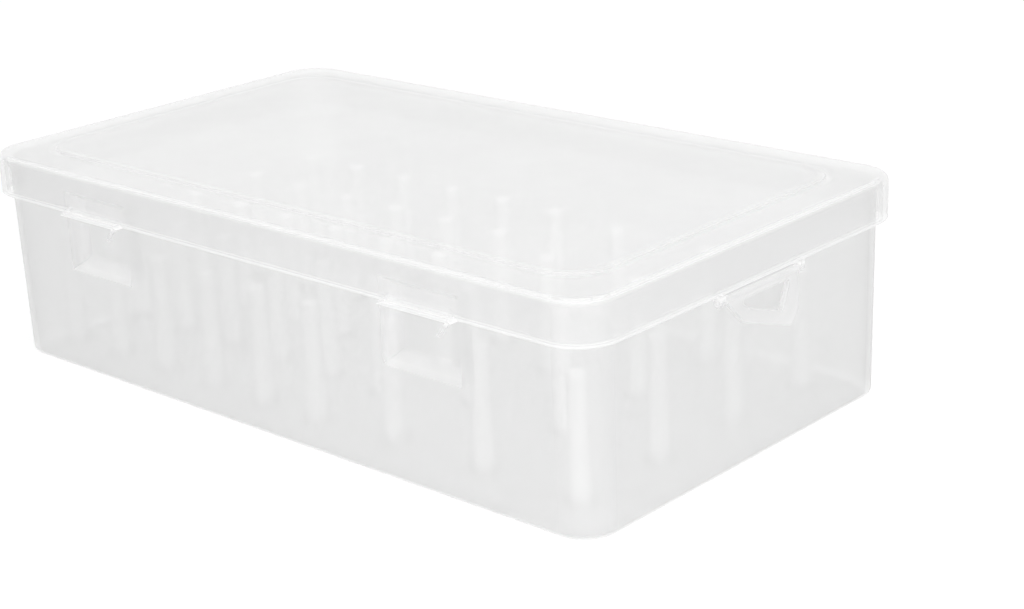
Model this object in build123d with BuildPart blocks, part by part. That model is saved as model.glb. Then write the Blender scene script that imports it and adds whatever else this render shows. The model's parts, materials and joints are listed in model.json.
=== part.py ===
"""Embroidery thread box: a frosted tray with spool pegs, a lift-off lid and a swinging end loop.

Sizes are in millimetres. +Z is up, +X points along the box to the end that carries the loop, and -Y
to the long side that has the thumb lips. The origin is the centre of the tray's underside.
"""

import os
from math import radians, tan

from build123d import *

# Closed box, over the lid: its lips and loop stand outside these sizes
box_length = 233.0
box_width = 133.0
box_height = 63.0

# Lid
lid_wall = 1.4
skirt_height = 12.2
lid_corner_radius = 12.0
lid_edge_radius = 2.0
skirt_edge_radius = 0.4
panel_rise = 0.6
panel_inset = 12.0
panel_corner_radius = 12.0
panel_edge_radius = 0.5

# Thumb lips, flared from the lower edge of the lid's front skirt
lip_spacing = 128.0
lip_width = 25.0
lip_end_slant = 2.5
lip_reach = 2.6
lip_height = 2.8
lip_edge = 0.8
lip_fillet = 0.3

# Tab under each lip, near its +X end, that slants down towards -X
tab_inset = 0.5
tab_width = 1.2
tab_thickness = 0.9
tab_drop = 3.8
tab_slant = 3.0

# Tray
tray_inset = 2.6
tray_wall = 1.3
tray_floor = 1.6
tray_corner_radius = 10.0
tray_edge_radius = 1.8
cavity_edge_radius = 1.5
draft_angle = 0.6
rim_flange_height = 1.6
rim_flange_radius = 0.5
rim_gap = 0.3

# Finger pockets, sunk in the tray's front wall below the thumb lips, each a little towards -X from its lip
pocket_width = 27.0
pocket_shift = 3.5
pocket_depth = 5.0
pocket_drop = 19.4
pocket_rise = 2.0
pocket_floor_slope = 2.5
pocket_corner_radius = 3.5

# Spool pegs, one at the centre of each cell of the tray's floor
small_columns = 6
small_rows = 5
large_columns = 3
large_rows = 4
large_cell_length = 32.2
peg_height = 34.4
peg_foot_radius = 3.1
peg_top_radius = 2.6
peg_tip_fillet = 0.8
socket_wall = 0.95
socket_height = 2.2
socket_fillet = 0.5
socket_clearance = 0.05

# End loop, and the ears that carry it. Its outline and window are points across the end and up, from
# the middle of its bar: the loop is crooked, with its lower edge sloping down towards +Y
loop_outline = [(-15.2, 0.0), (-7.5, -7.8), (12.9, -14.6), (16.2, -10.6), (15.2, 0.0)]
loop_window = [(-9.2, -1.6), (11.6, -1.7), (8.6, -9.2), (-5.2, -4.6)]
loop_thickness = 1.7
loop_corner_radius = 1.8
window_corner_radius = 0.7
loop_edge_radius = 0.5
loop_bar_radius = 0.95
loop_bar_length = 31.0
trunnion_radius = 0.7
trunnion_clearance = 0.07
ear_thickness = 1.6
ear_wall = 0.6
ear_rise = 0.8
ear_side_gap = 0.3
loop_drop = 1.45

# Half the depth of the band in which faces and edges are picked by their level
pick_band = 0.1

# Levels and sizes that follow
lid_top = box_height - panel_rise
skirt_bottom = lid_top - skirt_height
rim_top = lid_top - lid_wall
inner_length = box_length - 2 * (tray_inset + tray_wall)
inner_width = box_width - 2 * (tray_inset + tray_wall)
small_cell_length = (inner_length - large_columns * large_cell_length) / small_columns
flange_inset = lid_wall + rim_gap
hollow_inset = panel_inset + lid_wall
socket_radius = peg_foot_radius + socket_clearance + socket_wall
ear_radius = trunnion_radius + trunnion_clearance + ear_wall
loop_x = box_length / 2 - lid_wall + ear_radius
loop_z = skirt_bottom - loop_drop
ear_y = loop_bar_length / 2 + ear_side_gap + ear_thickness / 2

os.makedirs("parts", exist_ok=True)


def drafted_block(inset, bottom, corner_radius, edge_radius):
    """A rounded block whose sides lean out with the draft and end at the rim, inset there from the lid."""
    height = rim_top - bottom
    lean = height * tan(radians(draft_angle))
    with BuildPart() as block:
        with BuildSketch(Plane.XY.offset(bottom)):
            RectangleRounded(
                box_length - 2 * (inset + lean), box_width - 2 * (inset + lean), corner_radius
            )
        extrude(amount=height, taper=-draft_angle)
        fillet(block.faces().sort_by(Axis.Z)[0].edges(), edge_radius)
    return block.part


def pocket_block(grow):
    """The space of one finger pocket, centred on X = 0, with all its faces moved out by grow."""
    outside = -box_width / 2
    back = outside + tray_inset + pocket_depth
    bottom = skirt_bottom - pocket_drop
    top = skirt_bottom + pocket_rise
    with BuildPart() as block:
        with BuildSketch(Plane.YZ):
            with BuildLine():
                Polyline(
                    (outside, bottom),
                    (back, bottom + pocket_floor_slope),
                    (back, top),
                    (outside, top + pocket_depth),
                    close=True,
                )
            make_face()
            if grow:
                offset(amount=grow, kind=Kind.INTERSECTION)
        extrude(amount=pocket_width / 2 + grow, both=True)
        back_edges = block.faces().sort_by(Axis.Y)[-1].edges()
        fillet(back_edges.sort_by(Axis.Z)[:-1], pocket_corner_radius + grow)
    return block.part


def cells(columns, rows, cell_length, start):
    """Centres of a block of floor cells, column by column from start along X, named by place."""
    cell_width = inner_width / rows
    for column in range(columns):
        for row in range(rows):
            x = start + (column + 0.5) * cell_length
            y = (row + 0.5) * cell_width - inner_width / 2
            yield f"c{column + 1}_r{row + 1}", (x, y)


small_start = -inner_length / 2
large_start = small_start + small_columns * small_cell_length
small_pegs = dict(cells(small_columns, small_rows, small_cell_length, small_start))
large_pegs = dict(cells(large_columns, large_rows, large_cell_length, large_start))
pegs = {f"small_peg_{place}": centre for place, centre in small_pegs.items()}
pegs |= {f"large_peg_{place}": centre for place, centre in large_pegs.items()}
lip_places = [(-lip_spacing / 2, 0), (lip_spacing / 2, 0)]
pocket_places = [(x - pocket_shift, y) for x, y in lip_places]


def thumb_lip():
    """One thumb lip and its tab, centred on X = 0: a wedge that flares from the skirt to its lower edge."""
    face = -box_width / 2
    root = face + lid_wall / 2
    lip_face = face - lip_reach
    with BuildPart() as lip:
        with BuildSketch(Plane.YZ):
            with BuildLine():
                Polyline(
                    (root, skirt_bottom),
                    (lip_face, skirt_bottom),
                    (lip_face, skirt_bottom + lip_edge),
                    (face, skirt_bottom + lip_height),
                    (root, skirt_bottom + lip_height),
                    close=True,
                )
            make_face()
        extrude(amount=lip_width / 2, both=True)
        with BuildSketch(Plane.XZ):
            with BuildLine():
                Polyline(
                    (-lip_width / 2, skirt_bottom),
                    (lip_width / 2, skirt_bottom),
                    (lip_width / 2 - lip_end_slant, skirt_bottom + lip_height),
                    (lip_end_slant - lip_width / 2, skirt_bottom + lip_height),
                    close=True,
                )
            make_face()
        extrude(amount=box_width, mode=Mode.INTERSECT)
        fillet(lip.edges().filter_by(Axis.X).group_by(Axis.Y)[0], lip_fillet)
        with BuildSketch(Plane.XZ.offset(-lip_face - tab_thickness)):
            with BuildLine():
                tab_end = lip_width / 2 - tab_inset
                Polyline(
                    (tab_end, skirt_bottom + lip_edge / 2),
                    (tab_end, skirt_bottom),
                    (tab_end - tab_slant, skirt_bottom - tab_drop),
                    (tab_end - tab_slant - tab_width, skirt_bottom - tab_drop),
                    (tab_end - tab_width, skirt_bottom),
                    (tab_end - tab_width, skirt_bottom + lip_edge / 2),
                    close=True,
                )
            make_face()
        extrude(amount=tab_thickness)
    return lip.part


def ear():
    """One ear of the loop's bar, centred on Y = 0: it hangs from the end skirt and has an open bore."""
    with BuildPart() as block:
        with BuildSketch(Plane.XZ):
            with Locations((loop_x, loop_z)):
                Circle(ear_radius)
                Rectangle(2 * ear_radius, loop_drop + ear_rise, align=(Align.CENTER, Align.MIN))
                Circle(trunnion_radius + trunnion_clearance, mode=Mode.SUBTRACT)
        extrude(amount=ear_thickness / 2, both=True)
    return block.part


# Tray: drafted shell with a rim flange, finger pockets and a socket ring for each peg
pocket_space = pocket_block(0)
pocket_wall = pocket_block(tray_wall)

with BuildPart() as tray_cavity:
    cavity_inset = tray_inset + tray_wall
    add(drafted_block(cavity_inset, tray_floor, tray_corner_radius - tray_wall, cavity_edge_radius))
    with Locations(*pocket_places):
        add(pocket_wall, mode=Mode.SUBTRACT)

with BuildPart() as base_tray:
    add(drafted_block(tray_inset, 0, tray_corner_radius, tray_edge_radius))
    with BuildSketch(Plane.XY.offset(rim_top - rim_flange_height)):
        RectangleRounded(
            box_length - 2 * flange_inset, box_width - 2 * flange_inset, lid_corner_radius - flange_inset
        )
    extrude(amount=rim_flange_height)
    fillet(base_tray.faces().sort_by(Axis.Z)[-1].edges(), rim_flange_radius)
    add(tray_cavity.part, mode=Mode.SUBTRACT)
    with Locations(*pocket_places):
        add(pocket_space, mode=Mode.SUBTRACT)
    with BuildSketch(Plane.XY.offset(tray_floor)):
        with Locations(*pegs.values()):
            Circle(socket_radius)
    extrude(amount=socket_height)
    socket_top = tray_floor + socket_height
    tray_faces = base_tray.faces()
    socket_tops = tray_faces.filter_by_position(Axis.Z, socket_top - pick_band, socket_top + pick_band)
    fillet(socket_tops.edges(), socket_fillet)
    with BuildSketch(Plane.XY.offset(tray_floor)):
        with Locations(*pegs.values()):
            Circle(peg_foot_radius + socket_clearance)
    extrude(amount=socket_height, mode=Mode.SUBTRACT)

base_tray.part.label = "base_tray"
export_step(base_tray.part, "parts/base_tray.step")

# Pegs: a straight foot in its socket and a tapered stem with a rounded tip
for name, (x, y) in pegs.items():
    with BuildPart() as peg:
        with BuildSketch(Plane.XZ.offset(-y)):
            with BuildLine():
                Polyline(
                    (x, tray_floor),
                    (x + peg_foot_radius, tray_floor),
                    (x + peg_foot_radius, tray_floor + socket_height),
                    (x + peg_top_radius, tray_floor + peg_height),
                    (x, tray_floor + peg_height),
                    close=True,
                )
            make_face()
        revolve(axis=Axis((x, y, 0), (0, 0, 1)))
        fillet(peg.edges().group_by(Axis.Z)[-1], peg_tip_fillet)
    peg.part.label = name
    export_step(peg.part, f"parts/{name}.step")

# Lid: skirted cap with a raised panel, flared thumb lips and two ears under the end of the skirt
with BuildPart() as lid:
    with BuildSketch(Plane.XY.offset(skirt_bottom)):
        RectangleRounded(box_length, box_width, lid_corner_radius)
    extrude(amount=skirt_height)
    fillet(lid.faces().sort_by(Axis.Z)[-1].edges(), lid_edge_radius)
    with BuildSketch(Plane.XY.offset(lid_top)):
        RectangleRounded(box_length - 2 * panel_inset, box_width - 2 * panel_inset, panel_corner_radius)
    extrude(amount=panel_rise)
    fillet(lid.faces().sort_by(Axis.Z)[-1].edges(), panel_edge_radius)
    with BuildSketch(Plane.XY.offset(skirt_bottom)):
        RectangleRounded(
            box_length - 2 * lid_wall, box_width - 2 * lid_wall, lid_corner_radius - lid_wall
        )
    extrude(amount=skirt_height - lid_wall, mode=Mode.SUBTRACT)
    with BuildSketch(Plane.XY.offset(rim_top)):
        RectangleRounded(
            box_length - 2 * hollow_inset, box_width - 2 * hollow_inset, panel_corner_radius - lid_wall
        )
    extrude(amount=panel_rise, mode=Mode.SUBTRACT)
    fillet(lid.faces().sort_by(Axis.Z)[0].outer_wire().edges(), skirt_edge_radius)
    with Locations(*lip_places):
        add(thumb_lip())
    with Locations((0, -ear_y), (0, ear_y)):
        add(ear())

lid.part.label = "lid"
export_step(lid.part, "parts/lid.step")

# End loop: crooked flat link below a round bar, whose trunnions turn in the lid's ears
with BuildPart() as link_window:
    with BuildSketch(Plane.YZ.offset(loop_x)):
        with BuildLine():
            Polyline(*[(across, loop_z + up) for across, up in loop_window], close=True)
        make_face()
    extrude(amount=loop_thickness, both=True)
    fillet(link_window.edges().filter_by(Axis.X), window_corner_radius)

with BuildPart() as end_loop:
    with BuildSketch(Plane.YZ.offset(loop_x)):
        with BuildLine():
            Polyline(*[(across, loop_z + up) for across, up in loop_outline], close=True)
        make_face()
    extrude(amount=loop_thickness / 2, both=True)
    low_corners = end_loop.edges().filter_by(Axis.X).sort_by(Axis.Z)[:-2]
    fillet(low_corners, loop_corner_radius)
    add(link_window.part, mode=Mode.SUBTRACT)
    flat_sides = end_loop.faces().filter_by(Axis.X)
    fillet(flat_sides.edges().filter_by_position(Axis.Z, 0, loop_z - pick_band), loop_edge_radius)
    with Locations(Location((loop_x, 0, loop_z), (90, 0, 0))):
        Cylinder(loop_bar_radius, loop_bar_length)
        Cylinder(trunnion_radius, loop_bar_length + 2 * (ear_side_gap + ear_thickness))

end_loop.part.label = "end_loop"
export_step(end_loop.part, "parts/end_loop.step")
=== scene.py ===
"""Looks of the embroidery thread box: milky, see-through polypropylene on a white table.

Lengths are in metres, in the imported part's own frame: +Z up, +X towards the end with the loop, -Y
towards the long side with the thumb lips. Every shape comes from the frame; this script gives each
piece its finish, and adds the floor, the lights and the camera.
"""

import json
from math import cos, radians, sin

import bpy
from mathutils import Matrix, Vector

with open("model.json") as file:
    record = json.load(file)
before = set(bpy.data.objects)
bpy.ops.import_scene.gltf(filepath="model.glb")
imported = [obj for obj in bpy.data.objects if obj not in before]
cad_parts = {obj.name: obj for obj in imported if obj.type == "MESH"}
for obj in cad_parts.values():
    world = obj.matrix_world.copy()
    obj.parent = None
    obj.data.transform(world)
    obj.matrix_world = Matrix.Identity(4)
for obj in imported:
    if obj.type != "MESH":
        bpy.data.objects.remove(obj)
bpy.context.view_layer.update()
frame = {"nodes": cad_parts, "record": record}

# Camera, from the photograph: angles in degrees, the focal length in pixels of IMAGE_WIDTH
IMAGE_WIDTH = 1024
FOCAL_PIXELS = 2071.96
SENSOR_MM = 36
CAMERA_AZIMUTH = 42.93
CAMERA_ELEVATION = 19.55
CAMERA_ROLL = -2.48
CAMERA_TARGET = Vector((0.0402, -0.0082, 0.030))
CAMERA_DISTANCE = 0.5615
NEAREST_SEEN = 0.01
FARTHEST_SEEN = 100

# Lights and floor: a matt colour renders about as it is written; angles in degrees
WHITE = (1, 1, 1, 1)
WORLD_STRENGTH = 0.62
SUN_DIRECTION = Vector((0.2, -0.22, 1.0))
SUN_STRENGTH = 1.33
SUN_ANGLE = 60
FILL_PLACE = Vector((0.525, -0.49, 0.13))
FILL_AIM = Vector((0.1165, -0.0665, 0.03))
FILL_POWER = 0.14
FILL_SIZE = 0.3
FILL_SPREAD = 60
FLOOR_SIZE = 12.0
FLOOR_COLOUR = (0.88, 0.88, 0.88, 1)
FLOOR_GLOW = 0.107

# Plastic: how its cloudiness varies, the share of the lamps' light that it stops, how much of the
# longer way through a slanting wall counts, and the longest way, in walls
CLOUD_SCALE = 22
CLOUD_DETAIL = 3
CLOUD_SHADE = 0.97
HAZE_SWING = 0.02
ROUGHNESS_SWING = 0.05
LAMP_STOP = 0.06
SLANT_SHARE = 0.5
LONGEST_PATH = 4.0

# Painted highlights: lines of lighter colour painted on moulded rims and outlines, for the light
# that rounded rims catch; their colour, the haze they add, the strength of the two on the lid's
# top, how rounded their profile is, and their places and half widths
HIGHLIGHT_PAINT_COLOUR = (0.94, 0.94, 0.94, 1)
HIGHLIGHT_PAINT_HAZE = 0.45
TOP_LINE_STRENGTH = 0.1
PANEL_LINE_STRENGTH = 0.4
LINE_ROUNDING = 0.2
TOP_LINE_INSET = 0.0006
TOP_LINE_WIDTH = 0.0009
PANEL_LINE_WIDTH = 0.0024
SKIRT_LINE_WIDTH = 0.0013
FOOT_LINE_HEIGHT = 0.0007
FOOT_LINE_WIDTH = 0.0009
RIM_LINE_WIDTH = 0.0012

# The lid's outline and the levels of lid and tray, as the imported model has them
LID_LENGTH = 0.233
LID_WIDTH = 0.133
LID_CORNER = 0.012
LID_TOP = 0.0624
LID_TOP_DEPTH = 0.0025
SKIRT_BOTTOM = 0.0502
PANEL_INSET = 0.012
PANEL_CORNER = 0.012
RIM_TOP = 0.061

# Light paths: how often light may turn, be scattered by matt surfaces, and pass through clear ones
MOST_BOUNCES = 24
MATT_BOUNCES = 12
CLEAR_PASSES = 64


def add_camera():
    """The photograph's view: a camera at CAMERA_DISTANCE from its target, rolled a little."""
    az = radians(CAMERA_AZIMUTH)
    el = radians(CAMERA_ELEVATION)
    roll = radians(CAMERA_ROLL)
    back = Vector((sin(az) * cos(el), -cos(az) * cos(el), sin(el)))
    level = Vector((0, 0, 1)).cross(back).normalized()
    upright = back.cross(level)
    right = cos(roll) * level + sin(roll) * upright
    up = cos(roll) * upright - sin(roll) * level
    data = bpy.data.cameras.new("camera")
    data.sensor_width = SENSOR_MM
    data.lens = FOCAL_PIXELS / IMAGE_WIDTH * data.sensor_width
    data.clip_start = NEAREST_SEEN
    data.clip_end = FARTHEST_SEEN
    camera = bpy.data.objects.new("camera", data)
    turn = Matrix((right, up, back)).transposed().to_4x4()
    camera.matrix_world = Matrix.Translation(CAMERA_TARGET + CAMERA_DISTANCE * back) @ turn
    bpy.context.scene.collection.objects.link(camera)
    bpy.context.scene.camera = camera


def link(tree, source, target):
    """Joins an output socket to an input socket."""
    tree.links.new(source, target)


def seen_share(tree):
    """1 for a ray from the camera, off gloss or through plastic, else 0: it lights a surface."""
    path = tree.nodes.new("ShaderNodeLightPath")
    total = None
    for name in ("Is Camera Ray", "Is Glossy Ray", "Is Transmission Ray"):
        if total is None:
            total = path.outputs[name]
            continue
        either = tree.nodes.new("ShaderNodeMath")
        either.operation = "MAXIMUM"
        link(tree, total, either.inputs[0])
        link(tree, path.outputs[name], either.inputs[1])
        total = either.outputs[0]
    return total


def add_world():
    """Even white light from all round, seen as plain white."""
    world = bpy.data.worlds.new("studio")
    bpy.context.scene.world = world
    world.use_nodes = True
    tree = world.node_tree
    tree.nodes.clear()
    lit = tree.nodes.new("ShaderNodeBackground")
    lit.inputs["Strength"].default_value = WORLD_STRENGTH
    seen = tree.nodes.new("ShaderNodeBackground")
    seen.inputs["Strength"].default_value = 1
    for shader in (lit, seen):
        shader.inputs["Color"].default_value = WHITE
    mix = tree.nodes.new("ShaderNodeMixShader")
    out = tree.nodes.new("ShaderNodeOutputWorld")
    link(tree, seen_share(tree), mix.inputs[0])
    link(tree, lit.outputs[0], mix.inputs[1])
    link(tree, seen.outputs[0], mix.inputs[2])
    link(tree, mix.outputs[0], out.inputs["Surface"])


def add_sun(name, direction, strength, angle):
    """A wide soft lamp that shines from direction."""
    data = bpy.data.lights.new(name, "SUN")
    data.energy = strength
    data.angle = radians(angle)
    lamp = bpy.data.objects.new(name, data)
    lamp.rotation_euler = direction.to_track_quat("Z", "Y").to_euler()
    bpy.context.scene.collection.objects.link(lamp)


def add_fill(name, place, aim, power, size, spread):
    """A small soft lamp, which lights matt surfaces only and is never seen itself."""
    data = bpy.data.lights.new(name, "AREA")
    data.energy = power
    data.size = size
    data.spread = radians(spread)
    lamp = bpy.data.objects.new(name, data)
    lamp.location = place
    lamp.rotation_euler = (place - aim).to_track_quat("Z", "Y").to_euler()
    lamp.visible_camera = False
    lamp.visible_glossy = False
    lamp.visible_transmission = False
    bpy.context.scene.collection.objects.link(lamp)


def add_floor():
    """A wide pale table top at Z = 0 that takes the box's shadow."""
    half = FLOOR_SIZE / 2
    mesh = bpy.data.meshes.new("floor")
    corners = [(-half, -half, 0), (half, -half, 0), (half, half, 0), (-half, half, 0)]
    mesh.from_pydata(corners, [], [(0, 1, 2, 3)])
    floor = bpy.data.objects.new("floor", mesh)
    bpy.context.scene.collection.objects.link(floor)
    material = bpy.data.materials.new("floor")
    material.use_nodes = True
    tree = material.node_tree
    tree.nodes.clear()
    matt = tree.nodes.new("ShaderNodeBsdfDiffuse")
    matt.inputs["Color"].default_value = FLOOR_COLOUR
    glow = tree.nodes.new("ShaderNodeEmission")
    share = tree.nodes.new("ShaderNodeMath")
    share.operation = "MULTIPLY"
    share.inputs[1].default_value = FLOOR_GLOW
    link(tree, seen_share(tree), share.inputs[0])
    link(tree, share.outputs[0], glow.inputs["Strength"])
    both = tree.nodes.new("ShaderNodeAddShader")
    out = tree.nodes.new("ShaderNodeOutputMaterial")
    link(tree, matt.outputs[0], both.inputs[0])
    link(tree, glow.outputs[0], both.inputs[1])
    link(tree, both.outputs[0], out.inputs["Surface"])
    mesh.materials.append(material)


def value_of(tree, operation, first, second=0.0, third=0.0):
    """The output of one Math node, whose inputs are sockets or numbers."""
    node = tree.nodes.new("ShaderNodeMath")
    node.operation = operation
    for slot, given in zip(node.inputs, (first, second, third)):
        if isinstance(given, (int, float)):
            slot.default_value = given
        else:
            link(tree, given, slot)
    return node.outputs[0]


def noise(tree, place, scale, detail):
    """Cloudy values about 0.5, in the piece's own space."""
    node = tree.nodes.new("ShaderNodeTexNoise")
    node.inputs["Scale"].default_value = scale
    node.inputs["Detail"].default_value = detail
    link(tree, place, node.inputs["Vector"])
    return node.outputs["Fac"]


def band(tree, distance, middle, width):
    """1 where distance is at middle, and 0 from width away on."""
    off = value_of(tree, "ABSOLUTE", value_of(tree, "SUBTRACT", distance, middle))
    left = value_of(tree, "SUBTRACT", 1.0, value_of(tree, "DIVIDE", off, width))
    return value_of(tree, "SMOOTH_MIN", 1.0, value_of(tree, "MAXIMUM", 0.0, left), LINE_ROUNDING)


def height_of(tree, place):
    """The Z of a place."""
    parts = tree.nodes.new("ShaderNodeSeparateXYZ")
    link(tree, place, parts.inputs[0])
    return parts.outputs["Z"]


def outline_distance(tree, place, half_length, half_width, radius):
    """How far a place lies outside a rounded rectangle about the Z axis, and negative inside it."""
    parts = tree.nodes.new("ShaderNodeSeparateXYZ")
    link(tree, place, parts.inputs[0])
    over = []
    for axis, half in (("X", half_length), ("Y", half_width)):
        along = value_of(tree, "ABSOLUTE", parts.outputs[axis])
        over.append(value_of(tree, "SUBTRACT", along, half - radius))
    inside = value_of(tree, "MINIMUM", value_of(tree, "MAXIMUM", *over), 0.0)
    clipped = [value_of(tree, "MAXIMUM", part, 0.0) for part in over]
    squares = [value_of(tree, "MULTIPLY", part, part) for part in clipped]
    reach = value_of(tree, "SQRT", value_of(tree, "ADD", *squares))
    return value_of(tree, "SUBTRACT", value_of(tree, "ADD", reach, inside), radius)


def path_through(tree):
    """The thickness of plastic that a ray meets: 1 head on, and more on a slant."""
    weight = tree.nodes.new("ShaderNodeLayerWeight")
    weight.inputs["Blend"].default_value = 0.5  # with which Facing is one minus the cosine
    cosine = value_of(tree, "SUBTRACT", 1.0, weight.outputs["Facing"])
    longer = value_of(tree, "DIVIDE", 1.0, value_of(tree, "MAXIMUM", cosine, 1 / LONGEST_PATH))
    return value_of(tree, "MULTIPLY_ADD", longer, SLANT_SHARE, 1 - SLANT_SHARE)


def frosted(name, colour, haze, tint, roughness, glow=0.0, painted_highlights=None):
    """Milky polypropylene: mottled, softly glossy plastic mixed with clear plastic of that tint.

    haze is the share of a face that looks solid when seen head on; on a slant a face looks more
    solid, and what shows through it looks darker. Where the given highlight mask is 1, on moulded
    rims and outlines, a lighter colour and more haze are painted on as a highlight. glow is a
    painted
    glow: the plastic gives out a little light of its own, for the light it carries along inside it.
    """
    material = bpy.data.materials.new(name)
    material.use_nodes = True
    tree = material.node_tree
    shader = tree.nodes["Principled BSDF"]
    out = tree.nodes["Material Output"]
    place = tree.nodes.new("ShaderNodeTexCoord").outputs["Object"]

    cloud = noise(tree, place, CLOUD_SCALE, CLOUD_DETAIL)
    # Painted highlight: the mask of the rims and outlines on which a lighter colour is painted
    highlight_mask = painted_highlights(tree, place) if painted_highlights else None
    tone = tree.nodes.new("ShaderNodeMix")
    tone.data_type = "RGBA"
    tone.inputs["A"].default_value = (*[colour * CLOUD_SHADE] * 3, 1)
    tone.inputs["B"].default_value = (*[colour] * 3, 1)
    link(tree, cloud, tone.inputs["Factor"])
    shown = tone.outputs["Result"]
    if highlight_mask:
        highlight_paint = tree.nodes.new("ShaderNodeMix")
        highlight_paint.data_type = "RGBA"
        highlight_paint.inputs["B"].default_value = HIGHLIGHT_PAINT_COLOUR
        link(tree, highlight_mask, highlight_paint.inputs["Factor"])
        link(tree, shown, highlight_paint.inputs["A"])
        shown = highlight_paint.outputs["Result"]
    link(tree, shown, shader.inputs["Base Color"])
    rough = value_of(tree, "MULTIPLY_ADD", cloud, 2 * ROUGHNESS_SWING, roughness - ROUGHNESS_SWING)
    link(tree, rough, shader.inputs["Roughness"])
    # Painted glow: the plastic gives out light of its own, in place of light scattered inside it
    shader.inputs["Emission Color"].default_value = WHITE
    shader.inputs["Emission Strength"].default_value = glow

    path = path_through(tree)
    clear = tree.nodes.new("ShaderNodeBsdfTransparent")
    link(tree, value_of(tree, "POWER", tint, path), clear.inputs["Color"])
    open_share = value_of(tree, "MULTIPLY_ADD", cloud, -2 * HAZE_SWING, 1 - haze + HAZE_SWING)
    open_share = value_of(tree, "POWER", open_share, path)
    # Painted highlight: the painted lines are also made more solid, so that their lighter colour
    # shows
    if highlight_mask:
        less = value_of(tree, "MULTIPLY_ADD", highlight_mask, -HIGHLIGHT_PAINT_HAZE, 1.0)
        open_share = value_of(tree, "MULTIPLY", open_share, less)
    seen = tree.nodes.new("ShaderNodeMixShader")
    link(tree, open_share, seen.inputs[0])
    link(tree, shader.outputs[0], seen.inputs[1])
    link(tree, clear.outputs[0], seen.inputs[2])

    ray = tree.nodes.new("ShaderNodeLightPath")
    passing = tree.nodes.new("ShaderNodeBsdfTransparent")
    passing.inputs["Color"].default_value = WHITE
    lit = tree.nodes.new("ShaderNodeMixShader")
    lamp_share = value_of(tree, "MULTIPLY", ray.outputs["Is Shadow Ray"], 1 - LAMP_STOP)
    link(tree, lamp_share, lit.inputs[0])
    link(tree, seen.outputs[0], lit.inputs[1])
    link(tree, passing.outputs[0], lit.inputs[2])
    link(tree, lit.outputs[0], out.inputs["Surface"])
    return material


def lid_painted_highlights(tree, place):
    """The lid's painted highlight lines: top rim, raised panel's outline and the skirt's foot."""
    half_length = LID_LENGTH / 2
    half_width = LID_WIDTH / 2
    rim = outline_distance(tree, place, half_length, half_width, LID_CORNER)
    panel = outline_distance(
        tree, place, half_length - PANEL_INSET, half_width - PANEL_INSET, PANEL_CORNER
    )
    z = height_of(tree, place)
    # Painted highlight lines on the lid's top rim and panel outline, and along the skirt's foot
    rim_line = band(tree, rim, -TOP_LINE_INSET, TOP_LINE_WIDTH)
    rim_line = value_of(tree, "MULTIPLY", rim_line, TOP_LINE_STRENGTH)
    panel_line = band(tree, panel, 0.0, PANEL_LINE_WIDTH)
    panel_line = value_of(tree, "MULTIPLY", panel_line, PANEL_LINE_STRENGTH)
    on_top = value_of(tree, "GREATER_THAN", z, LID_TOP - LID_TOP_DEPTH)
    lines = value_of(tree, "MULTIPLY", value_of(tree, "MAXIMUM", rim_line, panel_line), on_top)
    return value_of(tree, "MAXIMUM", lines, band(tree, z, SKIRT_BOTTOM, SKIRT_LINE_WIDTH))


def tray_painted_highlights(tree, place):
    """The tray's painted highlight lines, along the foot of its underside and along its rim."""
    z = height_of(tree, place)
    foot_line = band(tree, z, FOOT_LINE_HEIGHT, FOOT_LINE_WIDTH)
    return value_of(tree, "MAXIMUM", foot_line, band(tree, z, RIM_TOP, RIM_LINE_WIDTH))


def finish_nodes():
    """Gives every carried-over CAD node its slot's material."""
    finishes = {
        "tray_plastic": dict(colour=0.875, haze=0.29, tint=0.962, roughness=0.35, painted_highlights=tray_painted_highlights),
        "lid_plastic": dict(colour=0.945, haze=0.165, tint=0.983, roughness=0.3, painted_highlights=lid_painted_highlights),
        # The pegs get a painted glow: a faint light of their own, for light scattered inside them
        "peg_plastic": dict(colour=0.945, haze=0.64, tint=1.0, roughness=0.35, glow=0.008),
        "loop_plastic": dict(colour=0.9, haze=0.24, tint=0.985, roughness=0.3),
    }
    materials = {name: frosted(name, **finish) for name, finish in finishes.items()}
    slots = {part["node"]: part["material_slot"] for part in frame["record"]["subparts"]}
    for name, piece in frame["nodes"].items():
        piece.data.materials.clear()
        piece.data.materials.append(materials[slots[name]])


add_camera()
add_world()
add_sun("key", SUN_DIRECTION, SUN_STRENGTH, SUN_ANGLE)
add_fill("fill", FILL_PLACE, FILL_AIM, FILL_POWER, FILL_SIZE, FILL_SPREAD)
add_floor()
finish_nodes()

scene = bpy.context.scene
scene.view_settings.view_transform = "Standard"
scene.cycles.max_bounces = MOST_BOUNCES
scene.cycles.diffuse_bounces = MATT_BOUNCES
scene.cycles.transparent_max_bounces = CLEAR_PASSES
